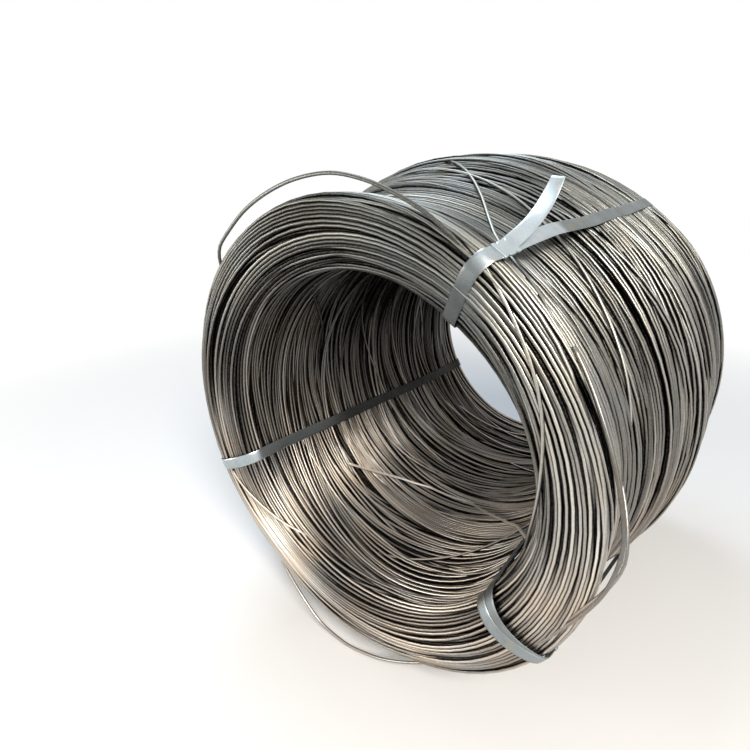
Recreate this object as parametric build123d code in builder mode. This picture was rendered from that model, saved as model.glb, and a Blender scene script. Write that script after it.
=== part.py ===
from build123d import *
import math
import os

# The coil lies on its side: its axis runs along Y, its near end faces -Y, and +Z is up.
# The origin is on the floor under the middle of the coil. Lengths are in millimetres.

# The coil of rod
coil_length = 1250.0
bore_diameter = 850.0
near_lip_diameter = 1192.0
waist_depth = 22.0
belly_diameter = 1332.0
far_lip_diameter = 1200.0
nose_diameter = 1050.0

# How far the ends are rounded, and how far each part of the outside stands from the near end
near_bore_round = 70.0
near_lip_round = 30.0
far_bore_round = 56.0
far_lip_round = 56.0
waist_distance = 190.0
belly_distance = 560.0
belly_length = 370.0

# The turns that show as ridges on both ends
near_ridges = 4
far_ridges = 3
ridge_height = 7.0

# The straps, and the seals crimped on them
strap_width = 32.0
strap_thickness = 1.0
seat_gap = 0.4
seal_length = 57.0
seal_wall = 1.2
seal_gap = 0.3
notch_depth = 3.0
notch_spacing = 26.0

# Where each strap crosses the ends, in degrees from the top, clockwise seen from the near end
upper_strap_angle = 31.0
lower_strap_angle = 121.0
left_strap_angle = 248.0

# How far each seal stands from the point where its strap leaves the near lip
upper_seal_distance = 18.0
lower_seal_distance = 18.0
left_seal_distance = 180.0

# The upper strap's end stands up behind its seal: a kink, then a slow curl, turned a little aside
kink_start = 4.0
kink_radius = 20.0
kink_angle = 28.0
curl_radius = 520.0
curl_length = 165.0
upper_end_turn = 9.0

# The lower strap's end lies askew on the strap, back over the near end
lower_end_radius = 455.0
lower_end_turn = 8.0
lower_turn_distance = 3.0

# The left strap's end stops just behind its seal
left_end_length = 14.0

bore_radius = bore_diameter / 2
nose_radius = nose_diameter / 2
waist_radius = near_lip_diameter / 2 - waist_depth
axis_height = belly_diameter / 2
near_end = -coil_length / 2
far_end = coil_length / 2
coil_axis = Axis((0, 0, axis_height), (0, 1, 0))

os.makedirs("parts", exist_ok=True)


def section_plane(angle):
    """The plane through the coil's axis at an angle: its x is along the axis, its y outwards."""
    turn = math.radians(angle)
    return Plane(origin=(0, 0, axis_height), x_dir=(0, 1, 0), z_dir=(math.cos(turn), 0, -math.sin(turn)))


def near_round_at(distance):
    """Two quarter ellipses, from the bore over the near end's nose to its lip, at a distance from the rod."""
    bore_side = nose_radius - bore_radius + distance
    lip_side = near_lip_diameter / 2 - nose_radius + distance
    bore_center = (near_end + near_bore_round, nose_radius)
    lip_center = (near_end + near_lip_round, nose_radius)
    return Wire([
        EllipticalCenterArc(bore_center, near_bore_round + distance, bore_side, 270, arc_size=-90),
        EllipticalCenterArc(lip_center, near_lip_round + distance, lip_side, 180, arc_size=-90),
    ])


def far_round_at(distance):
    """The same for the far end, from its lip over its nose to the bore."""
    bore_side = nose_radius - bore_radius + distance
    lip_side = far_lip_diameter / 2 - nose_radius + distance
    lip_center = (far_end - far_lip_round, nose_radius)
    bore_center = (far_end - far_bore_round, nose_radius)
    return Wire([
        EllipticalCenterArc(lip_center, far_lip_round + distance, lip_side, 90, arc_size=-90),
        EllipticalCenterArc(bore_center, far_bore_round + distance, bore_side, 0, arc_size=-90),
    ])


def smooth_outline(distance):
    """The outline of the section without its ridges, from the near end to the far one."""
    along = (1, 0)
    with BuildLine(mode=Mode.PRIVATE):
        near_round = near_round_at(distance)
        far_round = far_round_at(distance)
        waist = (near_end + waist_distance, waist_radius + distance)
        belly_start = (near_end + belly_distance, belly_diameter / 2 + distance)
        belly_end = (near_end + belly_distance + belly_length, belly_diameter / 2 + distance)
        outer_line = Wire([
            Spline(near_round @ 1, waist, tangents=[along, along]),
            Spline(waist, belly_start, tangents=[along, along]),
            Line(belly_start, belly_end),
            Spline(belly_end, far_round @ 0, tangents=[along, along]),
        ])
    return near_round, outer_line, far_round


near_round, outer_line, far_round = smooth_outline(0)


def add_ridges(smooth_end, count):
    """Sharp ridges along one end, whose crests touch the smooth outline."""
    corners = [smooth_end @ 0]
    for index in range(1, 2 * count):
        into_coil = (smooth_end % (index / (2 * count))).rotate(Axis.Z, -90)
        depth = 0 if index % 2 else ridge_height
        corners.append(smooth_end @ (index / (2 * count)) + into_coil * depth)
    corners.append(smooth_end @ 1)
    Polyline(corners)


with BuildPart() as wire_coil:
    with BuildSketch(section_plane(0)):
        with BuildLine():
            Line(far_round @ 1, near_round @ 0)
            add_ridges(near_round, near_ridges)
            add(outer_line)
            add_ridges(far_round, far_ridges)
        make_face()
    revolve(axis=coil_axis)
wire_coil.part.label = "wire_coil"
export_step(wire_coil.part, "parts/wire_coil.step")

# A strap is flat across its width, so on the hollow wall of the bore its edges touch first
bore_seat_radius = math.sqrt(bore_radius**2 - (strap_width / 2) ** 2)


def tight_loop(distance):
    """The shortest loop around the section, which a strap that is pulled tight follows."""
    near_side, outside, far_side = smooth_outline(distance)
    bore_side = bore_seat_radius - distance
    with BuildSketch(mode=Mode.PRIVATE) as loop:
        with BuildLine():
            Line(((far_side @ 1).X, bore_side), ((near_side @ 0).X, bore_side))
            add(near_side)
            add(outside)
            add(far_side)
        make_hull()
    return loop.sketch


# Each strap is one band on the rod. Where its ends lap, the second layer is one with the first,
# which it enters by half its thickness.
band_top = seat_gap + strap_thickness
lap_bottom = seat_gap + strap_thickness / 2
lap_top = seat_gap + 2 * strap_thickness

# The straight run over the waist, where each strap leaves the near lip and carries its seal
straight_runs = tight_loop(0).edges().filter_by(GeomType.LINE)
outer_runs = straight_runs.filter_by(lambda run: run.center().Y > waist_radius)
waist_run = outer_runs.sort_by(Axis.X)[0]
run_start = waist_run.vertices().sort_by(Axis.X)[0].center()
run_end = waist_run.vertices().sort_by(Axis.X)[-1].center()
run_direction = (run_end - run_start).normalized()


def seal_plane(angle, distance):
    """The plane of the waist run at a seal's near edge: x along the strap, z outwards."""
    section = section_plane(angle)
    place = run_start + run_direction * distance
    ahead = section.x_dir * run_direction.X + section.y_dir * run_direction.Y
    outwards = section.y_dir * run_direction.X - section.x_dir * run_direction.Y
    return Plane(origin=section.from_local_coords(place), x_dir=ahead, z_dir=outwards)


def band_outline(angle, inside, outside):
    """A closed band around the section, between two distances from it."""
    with BuildSketch(section_plane(angle)) as band:
        add(tight_loop(outside))
        add(tight_loop(inside), mode=Mode.SUBTRACT)
    return band.sketch


def make_seal(angle, distance):
    """A sleeve round the two layers of the strap, notched where it is crimped."""
    seat = seal_plane(angle, distance)
    inner_width = strap_width + 2 * seal_gap
    inner_height = 2 * strap_thickness + 2 * seal_gap
    outer_width = inner_width + 2 * seal_wall
    outer_height = inner_height + 2 * seal_wall
    middle = seat.offset(band_top)
    with BuildPart() as seal:
        with BuildSketch(Plane(origin=middle.origin, x_dir=seat.y_dir, z_dir=seat.x_dir)):
            Rectangle(outer_width, outer_height)
            Rectangle(inner_width, inner_height, mode=Mode.SUBTRACT)
        extrude(amount=seal_length)
        with BuildSketch(middle):
            for side in (-1, 1):
                edge = side * outer_width / 2
                with Locations(((seal_length - notch_spacing) / 2, edge), ((seal_length + notch_spacing) / 2, edge)):
                    RegularPolygon(notch_depth, 4)
        extrude(amount=outer_height, both=True, mode=Mode.SUBTRACT)
    return seal


def lap(angle, distance, start, end):
    """The second layer of a strap at its seal, between two distances from the seal's near edge."""
    with BuildPart(mode=Mode.PRIVATE) as layer:
        with BuildSketch(seal_plane(angle, distance).offset(lap_bottom)):
            with Locations(((start + end) / 2, 0)):
                Rectangle(end - start, strap_width)
        extrude(amount=lap_top - lap_bottom)
    return layer.part


with BuildPart() as strap_upper:
    extrude(band_outline(upper_strap_angle, seat_gap, band_top), amount=strap_width / 2, both=True)
    upper_seat = seal_plane(upper_strap_angle, upper_seal_distance)
    add(lap(upper_strap_angle, upper_seal_distance, 0, seal_length + kink_start))
    end_middle = band_top + strap_thickness / 2
    free_end_origin = upper_seat.from_local_coords((seal_length + kink_start, 0, 0))
    turned_seat = Plane(origin=free_end_origin, x_dir=upper_seat.x_dir, z_dir=upper_seat.z_dir).rotated((0, 0, upper_end_turn))
    with BuildSketch(Plane(origin=free_end_origin, x_dir=turned_seat.x_dir, z_dir=-turned_seat.y_dir)):
        with BuildLine():
            start = Line((-kink_start / 2, end_middle), (0, end_middle))
            kink = JernArc(start @ 1, start % 1, kink_radius, kink_angle)
            JernArc(kink @ 1, kink % 1, curl_radius, math.degrees(curl_length / curl_radius))
        trace(line_width=strap_thickness)
    extrude(amount=strap_width / 2, both=True)
strap_upper.part.label = "strap_upper"
export_step(strap_upper.part, "parts/strap_upper.step")

with BuildPart() as strap_lower:
    extrude(band_outline(lower_strap_angle, lap_bottom, lap_top), amount=strap_width, both=True)
    lower_section = section_plane(lower_strap_angle)
    turning_point = seal_plane(lower_strap_angle, lower_seal_distance - lower_turn_distance)
    with BuildSketch(turning_point.rotated((0, 0, lower_end_turn))):
        with Locations((-coil_length / 2, 0)):
            Rectangle(coil_length, strap_width)
    extrude(amount=coil_length, both=True, mode=Mode.INTERSECT)
    end_cut = lower_section.from_local_coords((0, lower_end_radius))
    with BuildSketch(Plane(origin=end_cut, x_dir=(0, 1, 0), z_dir=lower_section.y_dir)):
        Rectangle(2 * coil_length, 2 * strap_width)
    extrude(amount=coil_length, mode=Mode.INTERSECT)
    add(lap(lower_strap_angle, lower_seal_distance, -2 * lower_turn_distance, seal_length))
    extrude(band_outline(lower_strap_angle, seat_gap, band_top), amount=strap_width / 2, both=True)
strap_lower.part.label = "strap_lower"
export_step(strap_lower.part, "parts/strap_lower.step")

with BuildPart() as strap_left:
    extrude(band_outline(left_strap_angle, seat_gap, band_top), amount=strap_width / 2, both=True)
    add(lap(left_strap_angle, left_seal_distance, 0, seal_length + left_end_length))
strap_left.part.label = "strap_left"
export_step(strap_left.part, "parts/strap_left.step")

seal_upper = make_seal(upper_strap_angle, upper_seal_distance)
seal_upper.part.label = "seal_upper"
export_step(seal_upper.part, "parts/seal_upper.step")

seal_lower = make_seal(lower_strap_angle, lower_seal_distance)
seal_lower.part.label = "seal_lower"
export_step(seal_lower.part, "parts/seal_lower.step")

seal_left = make_seal(left_strap_angle, left_seal_distance)
seal_left.part.label = "seal_left"
export_step(seal_left.part, "parts/seal_left.step")
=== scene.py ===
import math

import bmesh
import bpy
import numpy as np
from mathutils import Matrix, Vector


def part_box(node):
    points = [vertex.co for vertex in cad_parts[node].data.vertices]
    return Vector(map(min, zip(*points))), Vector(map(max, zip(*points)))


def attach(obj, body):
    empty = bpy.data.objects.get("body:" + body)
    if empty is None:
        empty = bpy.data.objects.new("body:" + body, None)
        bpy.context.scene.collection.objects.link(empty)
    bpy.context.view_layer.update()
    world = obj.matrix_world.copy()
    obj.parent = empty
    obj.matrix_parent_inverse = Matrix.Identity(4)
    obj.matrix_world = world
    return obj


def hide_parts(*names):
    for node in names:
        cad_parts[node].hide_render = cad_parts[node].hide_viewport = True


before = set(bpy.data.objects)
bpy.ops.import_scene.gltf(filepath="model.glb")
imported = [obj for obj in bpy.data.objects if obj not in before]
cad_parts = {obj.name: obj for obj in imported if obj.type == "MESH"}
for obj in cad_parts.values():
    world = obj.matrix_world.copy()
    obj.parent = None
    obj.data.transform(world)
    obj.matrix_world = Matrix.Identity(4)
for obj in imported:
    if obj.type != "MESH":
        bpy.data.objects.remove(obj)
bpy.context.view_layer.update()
scene = bpy.context.scene
rng = np.random.default_rng(4573)

# The coil lies along Y with its near end at -Y. A place on it is an angle from the top,
# clockwise seen from the near end, a distance from the near end, and a radius from the axis.
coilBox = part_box("wire_coil")
axisHeight = (coilBox[0].z + coilBox[1].z) / 2
nearEnd = -0.625
farEnd = 0.625

coilShape = {
    "boreRadius": 0.425,
    "nearLipRadius": 0.596,
    "waistRadius": 0.574,
    "bellyRadius": 0.666,
    "farLipRadius": 0.600,
    "noseRadius": 0.525,
    "nearRounds": (0.070, 0.030),  # depth of the quarter rounds towards the bore and towards the lip
    "farRounds": (0.056, 0.056),
    "waistAt": nearEnd + 0.190,
    "bellyFrom": nearEnd + 0.560,
    "bellyTo": nearEnd + 0.930,
    "outlineStart": 0.30,  # along the axis, on the wall of the bore
    "roundPoints": 141,
    "slopePoints": (60, 90, 70),
    "spacing": 0.002,  # between the points of the outline
}


def slope(start, end, steps):
    # a level start and a level end, as the rod leans from one radius to the next
    t = np.linspace(0, 1, steps)
    along = start[0] + (end[0] - start[0]) * t
    radius = start[1] + (end[1] - start[1]) * (3 * t**2 - 2 * t**3)
    return np.stack([along, radius], 1)


def endRound(end, depths, lipRadius, inwards):
    # two quarter ellipses, from the bore over the nose to the lip
    nose = coilShape["noseRadius"]
    turn = np.linspace(-math.pi / 2, math.pi / 2, coilShape["roundPoints"])
    reach = np.where(turn < 0, nose - coilShape["boreRadius"], lipRadius - nose)
    depth = np.where(turn < 0, *depths)
    return np.stack([end + inwards * depth * (1 - np.cos(turn)), nose + reach * np.sin(turn)], 1)


def evenly(points, spacing):
    # the same line with its points at even distances
    steps = np.hypot(*np.diff(points, axis=0).T)
    keep = np.concatenate([[True], steps > 1e-7])
    points = points[keep]
    run = np.concatenate([[0], np.cumsum(np.hypot(*np.diff(points, axis=0).T))])
    even = np.linspace(0, run[-1], int(run[-1] / spacing) + 1)
    return np.stack([np.interp(even, run, points[:, i]) for i in range(points.shape[1])], 1)


def drawOutline():
    shape = coilShape
    nearRound = endRound(nearEnd, shape["nearRounds"], shape["nearLipRadius"], 1)
    farRound = endRound(farEnd, shape["farRounds"], shape["farLipRadius"], -1)[::-1]
    waist = (shape["waistAt"], shape["waistRadius"])
    lipToWaist, waistToBelly, bellyToLip = shape["slopePoints"]
    outside = [
        slope(nearRound[-1], waist, lipToWaist),
        slope(waist, (shape["bellyFrom"], shape["bellyRadius"]), waistToBelly),
        slope((shape["bellyTo"], shape["bellyRadius"]), farRound[0], bellyToLip),
    ]
    inBore = np.array([[shape["outlineStart"], shape["boreRadius"]]])
    return evenly(np.concatenate([inBore, nearRound, *outside, farRound, inBore]), shape["spacing"])


outline = drawOutline()
outlineStep = coilShape["spacing"]
outlineLength = outlineStep * (len(outline) - 1)
outlineRun = np.linspace(0, outlineLength, len(outline))
outlineAhead = np.gradient(outline, outlineRun, axis=0)
outlineAhead /= np.hypot(*outlineAhead.T)[:, None]
outlineInwards = np.stack([outlineAhead[:, 1], -outlineAhead[:, 0]], 1)
outlineTurn = np.unwrap(np.arctan2(outlineAhead[:, 1], outlineAhead[:, 0]))
outlineBend = np.convolve(np.abs(np.gradient(outlineTurn, outlineRun)), np.ones(9) / 9, "same")
noseRun = outlineRun[np.argmin(outline[:, 0])]
farNoseRun = outlineRun[np.argmax(outline[:, 0])]


def onOutline(run, values):
    return np.interp(np.mod(run, outlineLength), outlineRun, values)


def sectionPoint(run, depth):
    # distance along the axis and radius of a point at a depth under the outline
    along = onOutline(run, outline[:, 0]) + onOutline(run, outlineInwards[:, 0]) * depth
    radius = onOutline(run, outline[:, 1]) + onOutline(run, outlineInwards[:, 1]) * depth
    return along, radius


def outwardsOf(angle, run):
    # the direction out of the coil, square to the outline
    along = onOutline(run, outlineInwards[:, 0])
    radius = onOutline(run, outlineInwards[:, 1])
    return -np.stack([radius * np.sin(angle), along + 0 * angle, radius * np.cos(angle)], -1)


def inSpace(angle, along, radius):
    # angles in radians
    return np.stack([radius * np.sin(angle), along, axisHeight + radius * np.cos(angle)], -1)


print("outline", round(outlineLength, 3), "m")

# the turns of the rod are laid in layers, shoved about, and then settled so that few cut into each other
rod = {
    "diameter": 0.0076,
    "sides": 6,
    "stations": 72,  # points round one turn
    "layers": [(0.0089, 0.0041), (0.0091, 0.0108), (0.0122, 0.0182)],  # pitch and depth
    "wander": 0.032,  # how far bundles of turns shift to and fro
    "calm": (0.17, 0.6),  # round each nose, over this length, they shift this share less
    "gather": 0.0060,  # how far turns draw together and leave gaps
    "stray": 0.0070,  # how far each turn leaves its bundle
    "sink": 0.0030,  # how far a turn rises and sinks between the layers
    "relief": 0.011,  # how deep the hollows between bundles are
    "flatOnFloor": 14.0,  # degrees from the underside with no hollows
    "settleSteps": 90,
    "settleNeighbours": 8,
    "settleRoom": 1.01,  # diameters that each turn takes up
    "settlePush": (0.45, 0.6),  # share of a push that a step makes, along the outline and in depth
    "settleLift": 1.2,  # overlaps are cleared in depth more than along the outline
    "lastSmoothings": 4,
    "least": 0.0002,  # depth of the outermost rods
    "paintedSideShade": 0.10,  # painted shade on the rod's sides and back, where its neighbours shade them, as a share of its front's tone
}

# turns that lie across the others: three that the photograph shows, and others at random
laidAcross = {
    # angle, and distance from the near end and radius in millimetres
    "seen": [
        [(10, 70, 588), (22, 34, 594), (35.2, 10, 577), (46.8, 1, 546), (59, 0, 518), (67.2, 5, 487),
         (76, 16, 462), (86.2, 31, 442), (99, 60, 428), (116, 110, 425)],
        [(-96, 24, 592), (-109, 2, 540), (-121.8, 5, 487), (-131.5, 18, 458), (-143.5, 34, 440),
         (-158, 110, 425)],
        [(-18, 590, 665), (1, 452, 647), (8.2, 376, 620), (14.8, 316, 599), (20.2, 254, 581), (27, 159, 576),
         (40, 90, 580), (58, 50, 590)],
    ],
    "count": 56,
    "span": (60, 190),  # degrees
    "shift": (0.05, 0.30),  # metres along the section
    "clearOfNearEnd": 0.20,  # the random ones keep off the near nose
    "dive": (0.018, 5),  # how deep their ends go under the others, over so many stations
    "underStrap": (0.4, 6.0),  # diameters that a strap presses them down, and over how many degrees
    "tone": (0.46, 0.70),
}

strapAngles = {"upper": 31.0, "lower": 121.0, "left": 248.0}

# the straps pull the turns in: a depth, and over how many degrees
strapBite = {
    "belly": (0.014, 15.0),
    "rim": (0.026, 17.0),  # the near end's inner rim, by the upper strap
    "lip": (0.016, 26.0),  # the near end's lip, by the left strap
    "held": 7.0,  # under a strap there are no hollows
    "bellyFrom": (0.60, 0.06),  # radius where the belly's bite starts, and how far it takes to grow
    "rimFrom": (0.4255, 0.012),
    "rimTo": (0.560, 0.07),
    "nearEndTo": (-0.50, 0.05),
    "lipFade": (0.07, 1.6, 0.25),  # it grows over the first length, then fades over the last
}


def smoothed(values, width, ends="edge"):
    # a running mean, weighted towards its middle
    window = np.hanning(width)
    window /= window.sum()
    return np.convolve(np.pad(values, width // 2, ends), window, "valid")


def softNoise(count, spacing):
    # smooth random values, about one bump in each spacing
    knots = rng.normal(size=int(count / spacing) + 4)
    line = np.interp(np.arange(count + 2 * spacing) / spacing, np.arange(len(knots)), knots)
    window = np.hanning(2 * spacing + 1)
    line = np.convolve(line, window / window.sum(), "same")[spacing : spacing + count]
    return line / max(line.std(), 1e-9)


def ringField(waves, spacingAlong):
    # a smooth field over the outline, the same after a full turn
    knotCount = int(outlineLength / spacingAlong)
    places = np.linspace(0, outlineLength, knotCount + 1)
    parts = []
    for wave in waves:
        for part in (np.cos, np.sin):
            heights = rng.normal(size=knotCount)
            parts.append((wave, part, np.append(heights, heights[0])))

    def field(angle, run):
        total = np.zeros(np.broadcast(angle, run).shape)
        for wave, part, heights in parts:
            height = np.interp(np.mod(run, outlineLength), places, heights)
            total += height * part(wave * angle) / math.sqrt(len(waves))
        return total

    return field


def bellyShare(run):
    start, growth = strapBite["bellyFrom"]
    return np.clip((onOutline(run, outline[:, 1]) - start) / growth, 0, 1)


def nearStrap(angle, spread, names=tuple(strapAngles)):
    share = np.zeros(np.shape(angle))
    for name in names:
        away = np.abs((np.degrees(angle) - strapAngles[name] + 180) % 360 - 180)
        share = np.maximum(share, np.exp(-((away / spread) ** 2)))
    return share


def rimShare(run):
    # one on the quarter round between the bore and the nose of the near end
    radius = onOutline(run, outline[:, 1])
    endTo, endFade = strapBite["nearEndTo"]
    inner, innerFade = strapBite["rimFrom"]
    outer, outerFade = strapBite["rimTo"]
    onNearEnd = np.clip((endTo - onOutline(run, outline[:, 0])) / endFade, 0, 1)
    onRound = np.clip((outer - radius) / outerFade, 0, 1)
    return onNearEnd * onRound * np.clip((radius - inner) / innerFade, 0, 1)


def lipShare(run):
    # one on the lip of the near end, fading along the outside
    fromNose = run - noseRun
    growth, level, fade = strapBite["lipFade"]
    return np.clip(fromNose / growth, 0, 1) * np.clip(level - fromNose / fade, 0, 1)


def pulledIn(angle, run):
    # how deep the straps pull the turns in
    bellyDepth, bellySpread = strapBite["belly"]
    rimDepth, rimSpread = strapBite["rim"]
    lipDepth, lipSpread = strapBite["lip"]
    belly = bellyDepth * nearStrap(angle, bellySpread) * bellyShare(run)
    rim = rimDepth * nearStrap(angle, rimSpread, ("upper",)) * rimShare(run)
    return belly + rim + lipDepth * nearStrap(angle, lipSpread, ("left",)) * lipShare(run)


gather = ringField((0, 1, 2, 3, 5), 0.045)


def layTurns():
    stations = rod["stations"]
    angle, run, depth = [], [], []
    for pitch, level in rod["layers"]:
        turns = int(outlineLength / pitch)
        u = np.arange(turns * stations)
        place = u / stations * outlineLength / turns
        calmOver, calmShare = rod["calm"]
        calm = sum(np.exp(-(((place - nose) / calmOver) ** 2)) for nose in (noseRun, farNoseRun))
        for wave in (1, 2, 3):
            size = rod["wander"] / wave * (1 - calmShare * calm)
            place += size * softNoise(len(u), 6 * stations) * np.cos(wave * u / stations * 2 * math.pi)
            place += size * softNoise(len(u), 6 * stations) * np.sin(wave * u / stations * 2 * math.pi)
        place += rod["stray"] * softNoise(len(u), stations // 2)
        place += rod["gather"] * gather(u % stations * 2 * math.pi / stations, place)
        angle.append(u.reshape(turns, stations) % stations * 2 * math.pi / stations)
        run.append(place.reshape(turns, stations))
        depth.append((level + rod["sink"] * softNoise(len(u), stations // 4)).reshape(turns, stations))
    return np.concatenate(angle).T, np.concatenate(run).T, np.concatenate(depth).T


def smoothAlongRod(values, breaks):
    # each turn goes on into the next, so the ends of the columns are joined, but not from layer to layer
    flat = values.T.reshape(-1).copy()
    before = np.roll(flat, 1)
    after = np.roll(flat, -1)
    smooth = (before + 2 * flat + after) / 4
    smooth[0] = flat[0]
    smooth[-1] = flat[-1]
    for place in breaks:
        smooth[place] = flat[place]
        smooth[place - 1] = flat[place - 1]
    return smooth.reshape(values.T.shape).T


def nearestRun(along, radius):
    return outlineRun[np.argmin(np.hypot(outline[:, 0] - along, outline[:, 1] - radius))]


def layAcross():
    # one column for each turn: its run and depth at the stations it passes, and nothing elsewhere
    stations = rod["stations"]
    step = 2 * math.pi / stations
    keptClear = laidAcross["clearOfNearEnd"]
    diveDepth, diveOver = laidAcross["dive"]
    pressed, pressedOver = laidAcross["underStrap"]
    routes = []
    for places in laidAcross["seen"]:
        angles = np.radians([place[0] for place in places])
        runs = np.array([nearestRun(nearEnd + place[1] / 1000, place[2] / 1000) for place in places])
        order = np.argsort(angles)
        passed = np.arange(math.ceil(angles.min() / step), math.floor(angles.max() / step) + 1)
        routes.append((passed, np.interp(passed * step, angles[order], runs[order])))
    for _ in range(laidAcross["count"]):
        span = math.radians(rng.uniform(*laidAcross["span"]))
        shift = rng.uniform(*laidAcross["shift"]) * rng.choice([-1, 1])
        passed = rng.integers(0, stations) + np.arange(int(span / step))
        t = np.linspace(0, 1, len(passed))
        room = outlineLength - 2 * keptClear - abs(shift)
        start = noseRun + keptClear + rng.uniform(0, room) + max(-shift, 0)
        routes.append((passed, start + shift * (3 * t**2 - 2 * t**3)))
    run = np.zeros((stations, len(routes)))
    depth = np.full((stations, len(routes)), -1.0)
    lines = []
    for column, (passed, runs) in enumerate(routes):
        runs = smoothed(runs, 7)
        fromEnd = np.minimum(np.arange(len(passed)), np.arange(len(passed))[::-1])
        dive = 0.5 * rod["diameter"] + diveDepth * np.clip(1 - fromEnd / diveOver, 0, 1) ** 2
        dive += pulledIn(passed * step, runs)
        dive += pressed * rod["diameter"] * nearStrap(passed * step, pressedOver)
        run[passed % stations, column] = np.mod(runs, outlineLength)
        depth[passed % stations, column] = dive
        lines.append((passed * step, runs, dive))
    return run, depth, lines


def settle(angle, run, depth, breaks, fixedRun, fixedDepth):
    radius = rod["diameter"] / 2
    relief = ringField((2, 3, 5, 7), 0.055)(angle, run)
    held = nearStrap(angle, strapBite["held"])
    onFloor = np.exp(-(((np.degrees(angle) - 180) / rod["flatOnFloor"]) ** 2))
    hollow = rod["relief"] * np.clip(relief * 0.5 + 0.45, 0, 1.3) * (1 - held) * (1 - onFloor)
    free = run.shape[1]
    for _ in range(rod["settleSteps"]):
        allRuns = np.concatenate([np.mod(run, outlineLength), fixedRun], 1)
        allDepths = np.concatenate([depth, fixedDepth], 1)
        order = np.argsort(allRuns, axis=1)
        back = np.argsort(order, 1)
        a = np.take_along_axis(allRuns, order, 1)
        d = np.take_along_axis(allDepths, order, 1)
        shrink = 1 - np.interp(a, outlineRun, outlineBend) * d
        pushA = np.zeros_like(a)
        pushD = np.zeros_like(d)
        for neighbour in range(1, rod["settleNeighbours"] + 1):
            gapA = (np.roll(a, -neighbour, 1) - a) % outlineLength
            gapD = np.roll(d, -neighbour, 1) - d
            apart = np.hypot(gapA * shrink, gapD) + 1e-6
            push = np.clip(2 * radius * rod["settleRoom"] - apart, 0, None) / 2 / apart
            shoveA = push * gapA
            shoveD = push * np.where(np.abs(gapD) < 1e-4, 1e-4, gapD) * rod["settleLift"]
            pushA += np.roll(shoveA, neighbour, 1) - shoveA
            pushD += np.roll(shoveD, neighbour, 1) - shoveD
        run += rod["settlePush"][0] * np.take_along_axis(pushA, back, 1)[:, :free]
        depth += rod["settlePush"][1] * np.take_along_axis(pushD, back, 1)[:, :free]
        run = smoothAlongRod(run, breaks)
        depth = smoothAlongRod(depth, breaks)
        depth = np.maximum(depth, radius + hollow + pulledIn(angle, run))
    for _ in range(rod["lastSmoothings"]):
        run = smoothAlongRod(run, breaks)
        depth = smoothAlongRod(depth, breaks)
    depth = np.maximum(depth, radius + rod["least"])
    return run, depth, depth - radius - hollow - pulledIn(angle, run)


def coverOver(run, depth):
    # how far the rods that cover each rod lie above it
    order = np.argsort(np.mod(run, outlineLength), axis=1)
    back = np.argsort(order, 1)
    a = np.take_along_axis(np.mod(run, outlineLength), order, 1)
    d = np.take_along_axis(depth, order, 1)
    cover = np.zeros_like(d)
    for neighbour in (*range(-5, 0), *range(1, 6)):
        gap = np.abs((np.roll(a, neighbour, 1) - a + outlineLength / 2) % outlineLength - outlineLength / 2)
        share = np.clip(1.6 - gap / rod["diameter"], 0, 1)
        cover = np.maximum(cover, share * (d - np.roll(d, neighbour, 1)))
    return np.take_along_axis(cover, back, 1)


turnAngle, turnRun, turnDepth = layTurns()
acrossRun, acrossDepth, acrossLines = layAcross()
layerTurns = [int(outlineLength / pitch) for pitch, level in rod["layers"]]
layerBreaks = [rod["stations"] * count for count in np.cumsum(layerTurns)[:-1]]
turnRun, turnDepth, turnUnder = settle(turnAngle, turnRun, turnDepth, layerBreaks, acrossRun, acrossDepth)
print("turns settled", turnRun.shape)


def linkMesh(name, mesh, material, replaced):
    piece = bpy.data.objects.new(name, mesh)
    scene.collection.objects.link(piece)
    mesh.materials.clear()
    mesh.materials.append(material)
    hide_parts(*replaced)
    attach(piece, "root")
    return piece


def meshFrom(bm, name):
    bmesh.ops.recalc_face_normals(bm, faces=bm.faces)
    mesh = bpy.data.meshes.new(name)
    bm.to_mesh(mesh)
    bm.free()
    mesh.shade_smooth()
    return mesh


def rodMesh(name, lines, radius, sides, tones, outwards=None):
    # one bevelled curve for all lines, made a mesh, with the tone kept along each line: the steel's own, with
    # painted light and shade
    curve = bpy.data.curves.new(name + "Line", "CURVE")
    curve.dimensions = "3D"
    curve.bevel_depth = radius
    curve.bevel_resolution = (sides - 4) // 2
    for line in lines:
        spline = curve.splines.new("POLY")
        spline.points.add(len(line) - 1)
        spline.points.foreach_set("co", np.concatenate([line, np.ones((len(line), 1))], 1).ravel())
    holder = bpy.data.objects.new(name + "Line", curve)
    scene.collection.objects.link(holder)
    bpy.context.view_layer.update()
    mesh = bpy.data.meshes.new_from_object(holder.evaluated_get(bpy.context.evaluated_depsgraph_get()))
    bpy.data.objects.remove(holder)
    bpy.data.curves.remove(curve)
    mesh.name = name
    tone = mesh.attributes.new("tone", "FLOAT", "POINT")
    perPoint = np.repeat(np.concatenate(tones)[:, None], sides, 1)
    if perPoint.size != len(mesh.vertices):
        raise RuntimeError(f"{name}: {len(mesh.vertices)} vertices for {perPoint.size} tones")
    # painted shade: the sides and back of each rod, turned away from the outside of the coil, are darkened
    # where its neighbours shade them
    if outwards:
        corners = np.empty(len(mesh.vertices) * 3)
        mesh.vertices.foreach_get("co", corners)
        spokes = corners.reshape(-1, sides, 3) - np.concatenate(lines)[:, None]
        facing = np.einsum("psk,pk->ps", spokes, np.concatenate(outwards)) / radius
        shaded = rod["paintedSideShade"]
        perPoint = perPoint * (shaded + (1 - shaded) * np.clip((facing + 0.1) / 0.9, 0, 1))
    tone.data.foreach_set("value", perPoint.ravel().astype(np.float32))
    bm = bmesh.new()
    bm.from_mesh(mesh)
    bmesh.ops.holes_fill(bm, edges=[edge for edge in bm.edges if edge.is_boundary], sides=0)
    bm.to_mesh(mesh)
    bm.free()
    mesh.shade_smooth()
    return mesh


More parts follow.
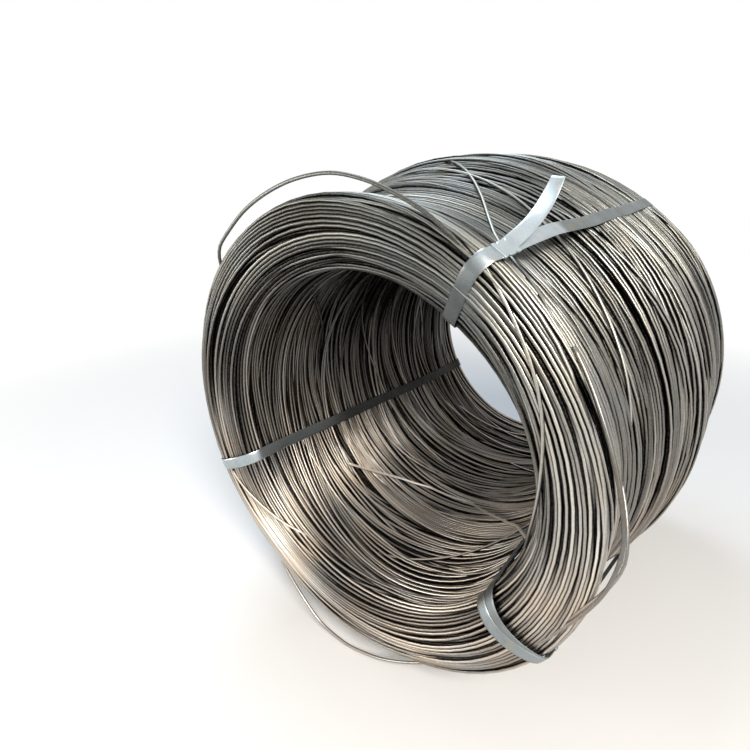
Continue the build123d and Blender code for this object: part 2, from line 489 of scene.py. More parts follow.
def newGroup(name, inputs, outputs):
    group = bpy.data.node_groups.new(name, "ShaderNodeTree")
    for label, kind, value in inputs:
        socket = group.interface.new_socket(label, in_out="INPUT", socket_type=kind)
        if value is not None:
            socket.default_value = value
    for label, kind in outputs:
        group.interface.new_socket(label, in_out="OUTPUT", socket_type=kind)
    return group, group.nodes.new("NodeGroupInput"), group.nodes.new("NodeGroupOutput")


def feed(tree, socket, value):
    # a number, a colour or the output of another node
    if isinstance(value, (int, float, tuple)):
        socket.default_value = value
    else:
        tree.links.new(value, socket)


def addNoise(tree, vector, scale, detail, roughness=0.5):
    node = tree.nodes.new("ShaderNodeTexNoise")
    for label, value in (("Vector", vector), ("Scale", scale), ("Detail", detail), ("Roughness", roughness)):
        feed(tree, node.inputs[label], value)
    return node.outputs["Fac"]


def addRange(tree, value, *limits):
    # from low, from high, to low, to high
    node = tree.nodes.new("ShaderNodeMapRange")
    for label, number in zip(("Value", "From Min", "From Max", "To Min", "To Max"), (value, *limits)):
        feed(tree, node.inputs[label], number)
    return node.outputs["Result"]


def addMath(tree, operation, first, second):
    node = tree.nodes.new("ShaderNodeMath")
    node.operation = operation
    feed(tree, node.inputs[0], first)
    feed(tree, node.inputs[1], second)
    return node.outputs[0]


def addMix(tree, factor, first, second, blend="MIX"):
    node = tree.nodes.new("ShaderNodeMix")
    node.data_type = "RGBA"
    node.blend_type = blend
    for index, value in ((0, factor), (6, first), (7, second)):  # 6 and 7 are the colours A and B
        feed(tree, node.inputs[index], value)
    return node.outputs[2]


def buildScuffGroup():
    # dull patches and grains of scale, over Object coordinates
    inputs = [("Vector", "NodeSocketVector", None), ("Patch", "NodeSocketFloat", 9.0),
              ("Grain", "NodeSocketFloat", 600.0)]
    outputs = [("Patches", "NodeSocketFloat"), ("Grains", "NodeSocketFloat"), ("Height", "NodeSocketFloat")]
    group, ins, outs = newGroup("scuffs", inputs, outputs)
    patches = addNoise(group, ins.outputs["Vector"], ins.outputs["Patch"], 5.0, 0.6)
    grains = addNoise(group, ins.outputs["Vector"], ins.outputs["Grain"], 3.0)
    group.links.new(addRange(group, patches, 0.35, 0.68, 0.0, 1.0), outs.inputs["Patches"])
    group.links.new(addRange(group, grains, 0.35, 0.65, 0.0, 1.0), outs.inputs["Grains"])
    group.links.new(grains, outs.inputs["Height"])
    return group


scuffGroup = buildScuffGroup()


def newMaterial(name):
    material = bpy.data.materials.new(name)
    material.use_nodes = True
    tree = material.node_tree
    shader = tree.nodes["Principled BSDF"]
    place = tree.nodes.new("ShaderNodeTexCoord")
    mapping = tree.nodes.new("ShaderNodeMapping")
    mapping.inputs["Location"].default_value = (0, 0, -axisHeight)
    tree.links.new(place.outputs["Object"], mapping.inputs["Vector"])
    scuffs = tree.nodes.new("ShaderNodeGroup")
    scuffs.node_tree = scuffGroup
    tree.links.new(mapping.outputs["Vector"], scuffs.inputs["Vector"])
    return material, tree, shader, mapping.outputs["Vector"], scuffs


def addBump(tree, shader, height, distance, strength):
    bump = tree.nodes.new("ShaderNodeBump")
    bump.inputs["Distance"].default_value = distance
    bump.inputs["Strength"].default_value = strength
    tree.links.new(height, bump.inputs["Height"])
    tree.links.new(bump.outputs["Normal"], shader.inputs["Normal"])


rodSteel = {
    "tone": 0.44,  # of common rod, between the dark and the light colour
    "dark": (0.006, 0.005, 0.0045, 1),
    "middle": (0.25, 0.243, 0.235, 1),
    "light": (0.74, 0.72, 0.69, 1),
    "brown": (1.0, 0.80, 0.58, 1),  # brown tints the steel; the blue is a painted sky reflection on its upper side
    "skyReflectionBlue": (0.84, 0.95, 1.0, 1),
    "metallic": (0.96, 0.40),  # of common rod and of the brightest tone, which mostly comes from painted light
    "roughness": (0.33, 0.44),
    "underShade": 0.95,  # painted shade: rods under the outer ones are darkened, and darker the deeper they lie
    "underFrom": 0.0008,
    "underTo": 0.0060,
    "hollowShade": 0.25,  # share of a hollow's depth that counts as cover
}


def buildRodMaterial():
    material, tree, shader, vector, scuffs = newMaterial("hotRolledRod")
    scuffs.inputs["Patch"].default_value = 7.0
    scuffs.inputs["Grain"].default_value = 260.0
    tone = tree.nodes.new("ShaderNodeAttribute")
    tone.attribute_name = "tone"
    grainy = addRange(tree, scuffs.outputs["Grains"], 0, 1, -0.05, 0.05)
    mixed = addMath(tree, "ADD", tone.outputs["Fac"], grainy)
    ramp = tree.nodes.new("ShaderNodeValToRGB")
    ramp.color_ramp.elements[0].position = 0.0
    ramp.color_ramp.elements[0].color = rodSteel["dark"]
    ramp.color_ramp.elements[1].position = 1.0
    ramp.color_ramp.elements[1].color = rodSteel["light"]
    middle = ramp.color_ramp.elements.new(0.45)
    middle.color = rodSteel["middle"]
    tree.links.new(mixed, ramp.inputs["Fac"])
    brown = addRange(tree, scuffs.outputs["Patches"], 0, 1, 0.15, 0.60)
    tinted = addMix(tree, 1.0, ramp.outputs["Color"], rodSteel["brown"], "MULTIPLY")
    browned = addMix(tree, brown, ramp.outputs["Color"], tinted)
    height = tree.nodes.new("ShaderNodeSeparateXYZ")
    tree.links.new(vector, height.inputs[0])
    skyReflectionShare = addRange(tree, height.outputs["Z"], -0.15, 0.50, 0.0, 1.0)  # painted sky reflection: the steel is bluer on its upper side
    skyReflected = addMix(tree, skyReflectionShare, browned, addMix(tree, 1.0, browned, rodSteel["skyReflectionBlue"], "MULTIPLY"))
    tree.links.new(skyReflected, shader.inputs["Base Color"])
    rough = addRange(tree, scuffs.outputs["Patches"], 0, 1, *rodSteel["roughness"])
    tree.links.new(rough, shader.inputs["Roughness"])
    metallicByTone = addRange(tree, tone.outputs["Fac"], 0.86, 1.0, *rodSteel["metallic"])
    tree.links.new(metallicByTone, shader.inputs["Metallic"])
    addBump(tree, shader, scuffs.outputs["Height"], 0.00012, 0.25)
    return material


rodMaterial = buildRodMaterial()

paintedShadeCore = {
    "color": (0.004, 0.0035, 0.003, 1),
    "lighterPatch": (0.010, 0.009, 0.008, 1),
    "roughness": 0.9,
    "specular": 0.08,
}


def buildCoreMaterial():
    material, tree, shader, vector, scuffs = newMaterial("shadedRod")
    scuffs.inputs["Patch"].default_value = 14.0
    dark = addMix(tree, scuffs.outputs["Patches"], paintedShadeCore["color"], paintedShadeCore["lighterPatch"])
    tree.links.new(dark, shader.inputs["Base Color"])
    shader.inputs["Roughness"].default_value = paintedShadeCore["roughness"]
    shader.inputs["Specular IOR Level"].default_value = paintedShadeCore["specular"]
    addBump(tree, shader, scuffs.outputs["Height"], 0.002, 0.6)
    return material


coreMaterial = buildCoreMaterial()

strapSteel = {
    "clean": (0.56, 0.63, 0.66, 1),
    "dull": (0.36, 0.40, 0.41, 1),
    "tarnishedAndShaded": (0.022, 0.021, 0.018, 1),
    "cream": (0.62, 0.57, 0.44, 1),
    "metallic": 0.88,
    "roughness": (0.24, 0.42),
}


def buildStrapMaterial():
    material, tree, shader, vector, scuffs = newMaterial("galvanisedStrap")
    scuffs.inputs["Patch"].default_value = 16.0
    scuffs.inputs["Grain"].default_value = 900.0
    dull = addRange(tree, scuffs.outputs["Patches"], 0, 1, 0.0, 0.8)
    base = addMix(tree, dull, strapSteel["clean"], strapSteel["dull"])
    spots = addRange(tree, addNoise(tree, vector, 24.0, 4.0), 0.60, 0.68, 0.0, 0.7)
    base = addMix(tree, spots, base, strapSteel["cream"])
    # tarnish and painted shade: this attribute darkens the zinc, in the bore as the shade there would
    tarnishAndShade = tree.nodes.new("ShaderNodeAttribute")
    tarnishAndShade.attribute_name = "tarnishAndShade"
    grainy = addRange(tree, scuffs.outputs["Grains"], 0, 1, -0.07, 0.07)
    uneven = addMath(tree, "ADD", tarnishAndShade.outputs["Fac"], grainy)
    tree.links.new(addMix(tree, uneven, base, strapSteel["tarnishedAndShaded"]), shader.inputs["Base Color"])
    rough = addRange(tree, scuffs.outputs["Patches"], 0, 1, *strapSteel["roughness"])
    rough = addMath(tree, "ADD", rough, addRange(tree, tarnishAndShade.outputs["Fac"], 0.4, 1.0, 0.0, 0.35))
    tree.links.new(rough, shader.inputs["Roughness"])
    shader.inputs["Metallic"].default_value = strapSteel["metallic"]
    addBump(tree, shader, scuffs.outputs["Height"], 0.0003, 0.4)
    return material


strapMaterial = buildStrapMaterial()
print("materials")

# painted shade: a near-black core under the turns, so that what is seen between them is deep shade
core = {"depth": 0.027, "steps": 72, "spacing": 0.03}


def buildCore():
    run = np.arange(0, outlineLength, core["spacing"])
    along, radius = sectionPoint(run, core["depth"])
    bm = bmesh.new()
    corners = [bm.verts.new((0, y, axisHeight + r)) for y, r in zip(along, radius)]
    edges = [bm.edges.new((corners[i], corners[(i + 1) % len(corners)])) for i in range(len(corners))]
    bmesh.ops.spin(
        bm, geom=corners + edges, cent=(0, 0, axisHeight), axis=(0, 1, 0), angle=2 * math.pi,
        steps=core["steps"], use_merge=True,
    )
    linkMesh("coilCore", meshFrom(bm, "coilCore"), coreMaterial, ["wire_coil"])


buildCore()

# the settled turns, cut into pieces by where they lie on the outline
bellyRun = outlineRun[np.argmin(np.hypot(outline[:, 0] - 0.02, outline[:, 1] - coilShape["bellyRadius"]))]
pieceRuns = {
    "turnsOfNearEnd": (noseRun - 0.19, noseRun + 0.26),
    "turnsOfFrontOutside": (noseRun + 0.26, bellyRun),
    "turnsOfRearOutside": (bellyRun, farNoseRun - 0.16),
    "turnsOfFarEnd": (farNoseRun - 0.16, farNoseRun + 0.24),
    "turnsOfRearBore": (farNoseRun + 0.24, farNoseRun + 0.24 + 0.50),
    "turnsOfFrontBore": None,  # what is left
}


# painted light and shade: the rod is made brighter where light falls or glints on it and darker where it lies
# in shade: angle and its spread, distance from the near nose along the outline and its spread, and the change
# of tone
placeLightAndShade = [
    (222, 30, 0.00, 0.15, 0.40),
    (340, 45, 0.00, 0.12, -0.15),
    (352, 40, 0.55, 0.30, -0.20),
    (285, 30, 0.00, 0.10, -0.12),
    (85, 50, 0.02, 0.16, 0.36),
    (165, 35, 0.00, 0.14, 0.04),
    (20, 80, -0.75, 0.55, -0.62),
    (310, 40, -0.85, 0.45, -0.25),
    (175, 50, -0.55, 0.40, 0.44),
    (232, 26, -0.40, 0.30, 0.14),
    (50, 55, 0.50, 0.35, 0.14),
]


def paintedLightAndShadeByPlace(angle, run):
    fromNose = np.mod(run - noseRun + outlineLength / 2, outlineLength) - outlineLength / 2
    change = np.zeros(np.shape(run))
    for middle, spread, reach, reachSpread, amount in placeLightAndShade:
        away = np.abs((np.degrees(angle) - middle + 180) % 360 - 180)
        change += amount * np.exp(-((away / spread) ** 2) - ((fromNose - reach) / reachSpread) ** 2)
    return change


def toneOfTurns(count):
    # steel of one tone over long stretches, with shorter scuffs
    stations = rod["stations"]
    tone = rodSteel["tone"] + 0.10 * softNoise(count, stations * 2) + 0.07 * softNoise(count, stations // 3)
    return tone + 0.03 * softNoise(count, 3)


def unbrokenRuns(turns):
    return np.split(turns, np.flatnonzero(np.diff(turns) > 1) + 1) if len(turns) else []


def buildTurns():
    stations = rod["stations"]
    meanRun = np.mod(turnRun[0] + (turnRun - turnRun[0]).mean(axis=0), outlineLength)
    left = np.ones(len(meanRun), bool)
    starts = np.concatenate([[0], np.cumsum(layerTurns)])
    # painted shade: the tone of rods that lie under others, or deep in hollows, is darkened towards the dark
    # colour
    under = coverOver(turnRun, turnDepth) + rodSteel["hollowShade"] * np.clip(turnUnder, 0, None)
    under = (under.T.ravel() - rodSteel["underFrom"]) / (rodSteel["underTo"] - rodSteel["underFrom"])
    tones = toneOfTurns(turnRun.size) + paintedLightAndShadeByPlace(turnAngle, turnRun).T.ravel()
    tones = tones * (1 - rodSteel["underShade"] * np.clip(under, 0, 1))
    along, radius = sectionPoint(turnRun, turnDepth)
    points = inSpace(turnAngle, along, radius)  # station, turn, xyz
    outwards = outwardsOf(turnAngle, turnRun)
    for name, span in pieceRuns.items():
        chosen = left.copy()
        if span:
            chosen &= np.mod(meanRun - span[0], outlineLength) < span[1] - span[0]
        left &= ~chosen
        lines, lineTones, lineOutwards = [], [], []
        for first, last in zip(starts[:-1], starts[1:]):
            for block in unbrokenRuns(np.flatnonzero(chosen[first:last]) + first):
                line = points[:, block].transpose(1, 0, 2).reshape(-1, 3)
                outward = outwards[:, block].transpose(1, 0, 2).reshape(-1, 3)
                end = block[-1] + 1
                if end < last:  # on to where the next turn starts
                    line = np.concatenate([line, points[:1, end]])
                    outward = np.concatenate([outward, outwards[:1, end]])
                lines.append(line)
                lineTones.append(tones[block[0] * stations : block[0] * stations + len(line)])
                lineOutwards.append(outward)
        mesh = rodMesh(name, lines, rod["diameter"] / 2, rod["sides"], lineTones, lineOutwards)
        linkMesh(name, mesh, rodMaterial, ["wire_coil"])
        print(name, sum(map(len, lines)) // stations, "turns", len(mesh.polygons) * 2, "triangles")


buildTurns()

# single turns that stand off the coil: angle, and distance from the near end and radius in millimetres
looseTurns = {
    "looseTurnOverLip": [
        (-54, 60, 560), (-49, 44, 564), (-45.5, 24, 580), (-41.5, 13, 602), (-35, 12, 605), (-28, 12, 613),
        (-19.7, 12, 618), (-12, 12, 623), (-5, 12, 626), (-1, 12, 627), (3, 12, 623), (8, 12, 617),
        (13, 12, 609), (18, 12, 602), (22, 13, 594), (25.5, 14, 586), (31, 22, 574), (40, 24, 568),
        (52, 22, 556),
    ],
    "looseTurnAtRightA": [
        (52, 70, 586), (64, 36, 594), (76.9, 13, 605), (83.4, 12, 611), (88.7, 12, 608), (95.5, 12, 599),
        (103, 14, 582), (110.5, 16, 566), (121, 14, 556),
    ],
    "looseTurnAtRightB": [
        (78, 96, 584), (84, 60, 604), (90, 30, 616), (96, 18, 598), (102, 16, 578), (110, 20, 560),
    ],
    "looseTurnAtBottomLeft": [
        (-138, 60, 585), (-148, 30, 592), (-158.4, 13, 607), (-166.7, 13, 650), (-176, 14, 655),
        (-186, 24, 640), (-200, 44, 604), (-212, 70, 584),
    ],
    "freeEndInBore": [
        (88, 70, 462), (94, 60, 448), (98, 75, 436), (104, 118, 427), (115, 200, 419), (135, 368, 414),
        (150, 446, 412), (171, 528, 414), (191.8, 518, 415), (205.2, 466, 414), (217.2, 390, 411),
        (226.2, 318, 404),
    ],
}
looseRod = {
    "step": 1.5,  # degrees
    "nearest": 0.004,  # to the plane of the near end
    "extraRadius": 0.0003,
    "sides": 8,
    "tone": 0.5,
    # painted light: the free end in the bore is given a tone past the lightest, so that it shows bright in
    # the shade of the bore
    "tones": {"freeEndInBore": 1.15, "looseTurnOverLip": 0.28},
    "scuff": (0.06, 12),  # change of tone, and over how many points
}


def buildLooseTurns():
    for name, places in looseTurns.items():
        angles, along, radius = (np.array(values, float) for values in zip(*places))
        way = np.sign(angles[-1] - angles[0])
        rising = np.arange(angles[0] * way, angles[-1] * way, looseRod["step"])
        along = smoothed(np.interp(rising, angles * way, along), 7)
        radius = smoothed(np.interp(rising, angles * way, radius), 7)
        line = inSpace(np.radians(rising * way), nearEnd + along / 1000, radius / 1000)
        line[:, 1] = np.maximum(line[:, 1], nearEnd + looseRod["nearest"])
        scuff, spacing = looseRod["scuff"]
        tone = looseRod["tones"].get(name, looseRod["tone"]) + scuff * softNoise(len(line), spacing)
        mesh = rodMesh(name, [line], rod["diameter"] / 2 + looseRod["extraRadius"], looseRod["sides"], [tone])
        linkMesh(name, mesh, rodMaterial, ["wire_coil"])


buildLooseTurns()


def buildAcross():
    lines, tones, outwards = [], [], []
    for angles, runs, dive in acrossLines:
        fine = np.arange(angles[0], angles[-1], math.radians(2.5))
        fineRuns = np.interp(fine, angles, runs)
        along, radius = sectionPoint(fineRuns, np.interp(fine, angles, dive))
        lines.append(inSpace(fine, along, radius))
        outwards.append(outwardsOf(fine, fineRuns))
        tones.append(rng.uniform(*laidAcross["tone"]) + paintedLightAndShadeByPlace(fine, fineRuns))
    mesh = rodMesh("turnsLaidAcross", lines, rod["diameter"] / 2, rod["sides"], tones, outwards)
    linkMesh("turnsLaidAcross", mesh, rodMaterial, ["wire_coil"])


buildAcross()
print("loose turns")

# straps: each one follows the shortest way round the section
strap = {
    "width": 0.032,
    "thickness": 0.001,
    "gap": 0.00035,  # over the rod
    "across": 6,
    "spacing": 0.009,
    "cup": 0.0003,  # the edges lie lower than the middle
    "ripple": 0.00005,
    "edge": 0.0002,
    # angle by distance along the axis, outside and in the bore
    "outside": {
        "upper": [(-0.625, 31.6), (-0.592, 32.3), (-0.46, 32.4), (-0.36, 32.7), (-0.30, 33.4), (-0.21, 34.4),
                  (0, 35.2), (0.625, 34.0)],
        "lower": [(-0.625, 121.5), (0.625, 121.0)],
        "left": [(-0.625, 248.6), (0.625, 240.5)],
    },
    "bore": {
        "upper": [(-0.625, 31.5), (0.625, 34.0)],
        "lower": [(-0.625, 123.0), (0.625, 121.0)],
        "left": [(-0.625, 248.8), (-0.54, 249.0), (-0.415, 248.0), (-0.23, 246.0), (-0.015, 244.2),
                 (0.245, 241.3), (0.53, 239.5), (0.625, 239.8)],
    },
    "turnsOver": (0.47, 0.10),  # from this radius the bore's angle gives way to the outside's, over so far
    # how dark the zinc is, by tarnish and by painted shade where the strap runs in the bore, by distance
    # round the strap from the near end's nose, outwards
    "tarnishAndShade": {
        "upper": [(-1.3, 0.9), (-0.12, 0.80), (0.015, 0.72), (0.035, 0.20), (0.31, 0.14), (0.33, 0.66),
                  (1.3, 0.75)],
        "lower": [(-1.3, 0.9), (-0.1, 0.62), (0.0, 0.55), (1.3, 0.8)],
        "left": [(-1.3, 1.0), (-0.50, 0.94), (-0.26, 0.50), (-0.12, 0.20), (0.02, 0.25), (0.2, 0.6),
                 (1.3, 0.8)],
    },
}


def hullOf(points):
    # the corners of the tightest loop round the points, anticlockwise
    points = points[np.lexsort((points[:, 1], points[:, 0]))]

    def half(line):
        kept = []
        for point in line:
            while len(kept) > 1 and np.cross(kept[-1] - kept[-2], point - kept[-2]) <= 0:
                kept.pop()
            kept.append(point)
        return kept[:-1]

    return np.array(half(points) + half(points[::-1]))


def strapLoop(name, lift):
    # the loop at a height over the rod, from the middle of the bore over the near end and back
    bite = pulledIn(math.radians(strapAngles[name]), outlineRun)
    along, radius = sectionPoint(outlineRun, bite - lift)
    hull = hullOf(np.stack([along, radius], 1))[::-1]  # clockwise in (along, radius)
    start = np.argmin(hull[:, 1] + np.abs(hull[:, 0] - coilShape["outlineStart"]) * 0.01)
    loop = np.roll(hull, -start, axis=0)
    return evenly(np.concatenate([loop, loop[:1]]), strap["spacing"] / 3)


def loopAngles(name, loop):
    outside = np.interp(loop[:, 0], *zip(*strap["outside"][name]))
    bore = np.interp(loop[:, 0], *zip(*strap["bore"][name]))
    radius, growth = strap["turnsOver"]
    return bore + (outside - bore) * np.clip((loop[:, 1] - radius) / growth, 0, 1)


def bendStrip(name, centres, outwards, sideways, tarnishAndShade, replaced, closed, wave=0.0):
    # a flat grid laid along the line, then given its thickness
    count = len(centres)
    bm = bmesh.new()
    bmesh.ops.create_grid(bm, x_segments=count - 1, y_segments=strap["across"], size=1)
    tarnishAndShadeLayer = bm.verts.layers.float.new("tarnishAndShade")
    ripple = wave * softNoise(count, 6)
    for vert in bm.verts:
        i = int(round((vert.co.x + 1) / 2 * (count - 1)))
        side = vert.co.y
        vert[tarnishAndShadeLayer] = tarnishAndShade[i]
        lift = ripple[i] - strap["cup"] * side**2
        vert.co = Vector(centres[i] + sideways[i] * side * strap["width"] / 2 + outwards[i] * lift)
    if closed:
        bmesh.ops.remove_doubles(bm, verts=bm.verts, dist=0.0004)
    piece = linkMesh(name, meshFrom(bm, name), strapMaterial, replaced)
    solid = piece.modifiers.new("thickness", "SOLIDIFY")
    solid.thickness = strap["thickness"]
    solid.offset = 0
    bevel = piece.modifiers.new("edges", "BEVEL")
    bevel.width = strap["edge"]
    bevel.segments = 1
    bevel.limit_method = "ANGLE"


def unit(vectors):
    return vectors / np.linalg.norm(vectors, axis=-1, keepdims=True)


def crosswise(angle, ahead):
    # clockwise round the axis, but square to the way ahead
    across = np.stack([np.cos(angle), 0 * angle, -np.sin(angle)], 1)
    return unit(across - ahead * np.sum(across * ahead, axis=1)[:, None])


def strapLine(name, lift):
    loop = strapLoop(name, lift)
    angle = smoothed(np.radians(loopAngles(name, loop)), 25, "wrap")
    centres = inSpace(angle, loop[:, 0], loop[:, 1])
    ahead = unit(np.gradient(centres, axis=0))
    sideways = crosswise(angle, ahead)
    outwards = unit(np.cross(ahead, sideways))
    sectionMiddle = inSpace(angle, 0 * angle, (coilShape["boreRadius"] + coilShape["bellyRadius"]) / 2)
    flip = np.sign(np.sum(outwards * (centres - sectionMiddle), axis=1))
    return loop, centres, outwards * flip[:, None], sideways


def buildStrap(name):
    loop, centres, outwards, sideways = strapLine(name, strap["gap"] + strap["thickness"] / 2)
    picked = np.arange(0, len(loop), 3)
    picked = np.append(picked[:-1], 0) if picked[-1] >= len(loop) - 2 else np.append(picked, 0)
    run = np.concatenate([[0], np.cumsum(np.hypot(*np.diff(loop, axis=0).T))])
    tarnishAndShade = np.interp(run - run[np.argmin(loop[:, 0])], *zip(*strap["tarnishAndShade"][name]))
    bendStrip("strap" + name.capitalize(), centres[picked], outwards[picked], sideways[picked],
              tarnishAndShade[picked], ["strap_" + name], True, strap["ripple"])


for strapName in strapAngles:
    buildStrap(strapName)
print("straps")

# seals: crimped sleeves with two notches on each side
seal = {
    "length": 0.057,
    "width": 0.0362,
    "height": 0.0052,
    "notchDepth": 0.0044,
    "notchAt": (-0.013, 0.013),
    "notchSpread": 0.0036,
    "flattened": 0.0016,  # at the notches
    "dent": (0.0008, 0.010, 0.009),  # depth, half length and half width
    "bevel": 0.0011,
    "steps": (28, 10),  # along and across
    "tarnishAndShade": {"upper": 0.0, "lower": 0.5, "left": 0.5},
    "places": {"upper": 0.018, "lower": 0.018, "left": 0.180},
}


def lineFrom(name, lift, distances):
    # frames on a strap at distances past the point where it leaves the near lip
    loop, centres, outwards, sideways = strapLine(name, lift)
    onOutside = loop[:, 1] > coilShape["noseRadius"]
    leaving = np.flatnonzero(onOutside & (loop[:, 0] > nearEnd + coilShape["nearRounds"][1]))[0]
    run = np.concatenate([[0], np.cumsum(np.linalg.norm(np.diff(centres, axis=0), axis=1))])

    def take(values):
        return np.stack([np.interp(run[leaving] + distances, run, values[:, i]) for i in range(3)], 1)

    return take(centres), unit(take(outwards)), unit(take(sideways))


def buildSeal(name):
    steps, stepsAcross = seal["steps"]
    distances = seal["places"][name] + np.linspace(0, seal["length"], steps + 1)
    centres, outwards, sideways = lineFrom(name, strap["gap"] + strap["thickness"], distances)
    dentDepth, dentLength, dentWidth = seal["dent"]
    bm = bmesh.new()
    bmesh.ops.create_cube(bm, size=1)
    bmesh.ops.scale(bm, vec=(seal["length"], seal["width"], seal["height"]), verts=bm.verts)
    bmesh.ops.bevel(
        bm, geom=bm.edges, offset=seal["bevel"], affect="EDGES", segments=2, profile=0.5, material=-1,
    )
    long = [edge for edge in bm.edges if abs(edge.verts[0].co.x - edge.verts[1].co.x) > seal["length"] * 0.5]
    bmesh.ops.subdivide_edges(bm, edges=long, cuts=steps - 1, use_grid_fill=True)
    wide = [edge for edge in bm.edges if abs(edge.verts[0].co.y - edge.verts[1].co.y) > seal["width"] * 0.5]
    bmesh.ops.subdivide_edges(bm, edges=wide, cuts=stepsAcross - 1, use_grid_fill=True)
    for vert in bm.verts:
        x, y, z = vert.co
        notch = max(math.exp(-(((x - at) / seal["notchSpread"]) ** 2)) for at in seal["notchAt"])
        side = (abs(y) / (seal["width"] / 2)) ** 6
        y -= math.copysign(seal["notchDepth"] * notch * side, y)
        z -= math.copysign(seal["flattened"] * notch * side, z)
        dent = math.exp(-((x / dentLength) ** 2) - (y / dentWidth) ** 2)
        z -= dentDepth * dent if z > 0 else 0
        t = (x / seal["length"] + 0.5) * steps
        i = min(max(int(t), 0), steps - 1)
        centre = centres[i] + (centres[i + 1] - centres[i]) * (t - i)
        vert.co = Vector(centre + sideways[i] * y + outwards[i] * z)
    tarnishAndShadeLayer = bm.verts.layers.float.new("tarnishAndShade")
    for vert in bm.verts:
        vert[tarnishAndShadeLayer] = seal["tarnishAndShade"][name]
    pieceName = "seal" + name.capitalize()
    linkMesh(pieceName, meshFrom(bm, pieceName), strapMaterial, ["seal_" + name])


for strapName in strapAngles:
    buildSeal(strapName)
print("seals")

# the upper strap's end stands up behind its seal, with a kink and a slow curl
tail = {
    # distance from the near end and radius in millimetres, and angle
    "places": [(66, 602.6, 32.3), (88, 605, 32.1), (102, 607, 31.8), (122, 611, 31.5), (154, 619, 31.1),
               (190, 632, 30.6), (219, 646, 30.0), (246, 664, 29.3), (264, 684, 28.6), (273, 703, 28.1)],
    "steps": 40,
    "twist": 24.0,
    "tarnishAndShade": 0.0,
}


def buildTail():
    places = np.array(tail["places"], float)
    steps = tail["steps"]
    way = np.linspace(0, len(places) - 1, steps)
    line = np.stack([np.interp(way, np.arange(len(places)), column) for column in places.T], 1)
    for column in range(3):
        line[3:-3, column] = smoothed(line[:, column], 9)[3:-3]
    angle = np.radians(line[:, 2])
    points = inSpace(angle, nearEnd + line[:, 0] / 1000, line[:, 1] / 1000)
    direction = unit(np.gradient(points, axis=0))
    side = crosswise(angle, direction)
    up = np.cross(side, direction)
    twist = np.radians(tail["twist"]) * np.clip(np.linspace(-0.2, 1, steps), 0, 1)[:, None]
    side, up = side * np.cos(twist) + up * np.sin(twist), up * np.cos(twist) - side * np.sin(twist)
    tarnishAndShade = np.full(steps, tail["tarnishAndShade"])
    bendStrip("strapUpperEnd", points, unit(up), unit(side), tarnishAndShade, ["strap_upper"], False)


buildTail()

# the lower strap's second layer, askew over the near end
lowerEnd = {
    "lift": 1.55,  # thicknesses over the rod
    "from": 0.03,  # past the near lip
    "length": 0.25,
    "swing": 0.15,  # sideways, as a share of the length
    "tarnishAndShade": 0.45,
}


def buildLowerEnd():
    back = np.arange(0, lowerEnd["length"], strap["spacing"])
    lift = strap["gap"] + lowerEnd["lift"] * strap["thickness"]
    centres, outwards, sideways = lineFrom("lower", lift, lowerEnd["from"] - back)
    swing = np.clip(back - lowerEnd["from"], 0, None) * lowerEnd["swing"]
    centres = centres + sideways * swing[:, None]
    tarnishAndShade = np.full(len(back), lowerEnd["tarnishAndShade"])
    bendStrip("strapLowerEnd", centres, outwards, sideways, tarnishAndShade, ["strap_lower"], False)


buildLowerEnd()
print("strap ends")

floor = {"radius": 7.0, "color": (0.80, 0.80, 0.80, 1), "fadeFrom": 1.3, "fadeTo": 3.2}


def addSeenFactor(tree):
    # where the camera looks, also by way of gloss, the background is white
    seen = tree.nodes.new("ShaderNodeLightPath")
    both = addMath(tree, "MAXIMUM", seen.outputs["Is Camera Ray"], seen.outputs["Is Glossy Ray"])
    return addMath(tree, "MAXIMUM", both, seen.outputs["Is Transmission Ray"])


def buildFloor():
    bm = bmesh.new()
    bmesh.ops.create_circle(bm, cap_ends=True, segments=96, radius=floor["radius"])
    mesh = bpy.data.meshes.new("floor")
    bm.to_mesh(mesh)
    bm.free()
    piece = bpy.data.objects.new("floor", mesh)
    scene.collection.objects.link(piece)
    material = bpy.data.materials.new("paleFloor")
    material.use_nodes = True
    tree = material.node_tree
    shader = tree.nodes["Principled BSDF"]
    shader.inputs["Base Color"].default_value = floor["color"]
    shader.inputs["Roughness"].default_value = 0.9
    shader.inputs["Specular IOR Level"].default_value = 0.0
    place = tree.nodes.new("ShaderNodeTexCoord")
    length = tree.nodes.new("ShaderNodeVectorMath")
    length.operation = "LENGTH"
    tree.links.new(place.outputs["Object"], length.inputs[0])
    fade = addRange(tree, length.outputs["Value"], floor["fadeFrom"], floor["fadeTo"], 0.0, 1.0)
    white = tree.nodes.new("ShaderNodeEmission")
    mix = tree.nodes.new("ShaderNodeMixShader")
    tree.links.new(addMath(tree, "MULTIPLY", fade, addSeenFactor(tree)), mix.inputs[0])
    tree.links.new(shader.outputs[0], mix.inputs[1])
    tree.links.new(white.outputs[0], mix.inputs[2])
    tree.links.new(mix.outputs[0], tree.nodes["Material Output"].inputs["Surface"])
    mesh.materials.append(material)


buildFloor()

studio = {"ambient": (0.86, 0.92, 1.0, 1), "strength": 0.28}


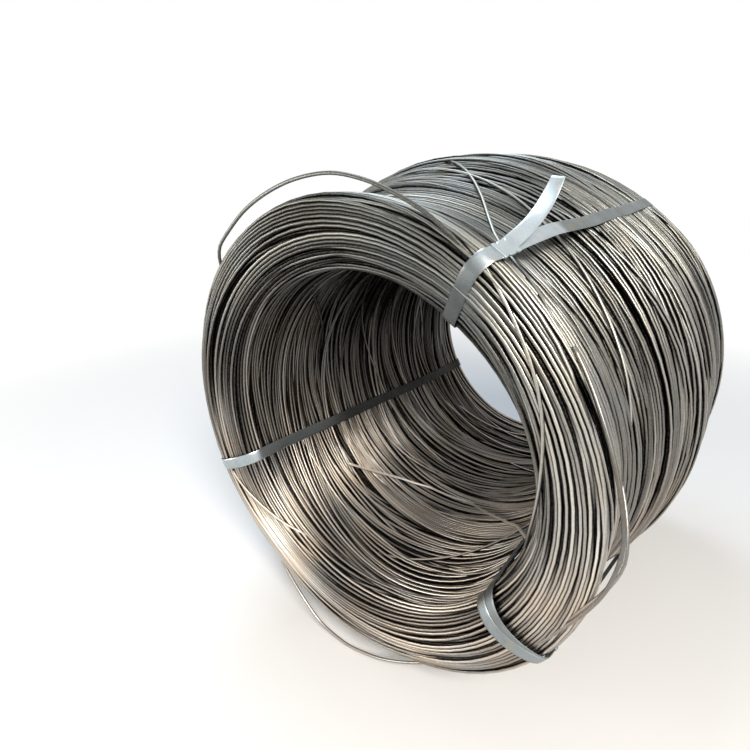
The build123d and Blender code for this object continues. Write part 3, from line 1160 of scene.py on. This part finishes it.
def buildWorld():
    world = bpy.data.worlds.new("studio")
    scene.world = world
    world.use_nodes = True
    tree = world.node_tree
    ambient = tree.nodes["Background"]
    ambient.inputs["Color"].default_value = studio["ambient"]
    ambient.inputs["Strength"].default_value = studio["strength"]
    white = tree.nodes.new("ShaderNodeBackground")
    white.inputs["Strength"].default_value = 1.0
    white.inputs["Color"].default_value = (1, 1, 1, 1)
    mix = tree.nodes.new("ShaderNodeMixShader")
    tree.links.new(addSeenFactor(tree), mix.inputs[0])
    tree.links.new(ambient.outputs[0], mix.inputs[1])
    tree.links.new(white.outputs[0], mix.inputs[2])
    tree.links.new(mix.outputs[0], tree.nodes["World Output"].inputs["Surface"])


buildWorld()

lamps = {
    "keyLamp": {"from": (2.7, -2.6, 3.5), "size": 1.9, "power": 280, "color": (1.0, 0.94, 0.86)},
    "skyLamp": {"from": (-1.5, 0.6, 4.2), "size": 2.6, "power": 95, "color": (0.76, 0.88, 1.0)},
    "leftLamp": {"from": (-3.0, -3.0, 0.9), "size": 1.6, "power": 75, "color": (1.0, 0.95, 0.86)},
}


def buildLamps():
    for name, facts in lamps.items():
        data = bpy.data.lights.new(name, "AREA")
        data.shape = "DISK"
        data.size = facts["size"]
        data.energy = facts["power"]
        data.color = facts["color"]
        lamp = bpy.data.objects.new(name, data)
        scene.collection.objects.link(lamp)
        place = Vector(facts["from"])
        lamp.location = place
        lamp.rotation_euler = (Vector((0, 0, axisHeight)) - place).to_track_quat("-Z", "Y").to_euler()


buildLamps()

shot = {
    "from": (0.694, nearEnd + 0.012 - 0.768, axisHeight + 0.648),
    "azimuth": 35.5,
    "elevation": 23.5,
    "lens": 24.41,
    "shift": (-0.034, 0.0082),
}


def buildCamera():
    data = bpy.data.cameras.new("camera")
    data.lens = shot["lens"]
    data.sensor_width = 36
    data.shift_x, data.shift_y = shot["shift"]
    data.clip_start = 0.01
    camera = bpy.data.objects.new("camera", data)
    scene.collection.objects.link(camera)
    camera.location = shot["from"]
    camera.rotation_euler = (math.radians(90 - shot["elevation"]), 0, math.radians(shot["azimuth"]))
    scene.camera = camera


buildCamera()
scene.view_settings.view_transform = "Standard"
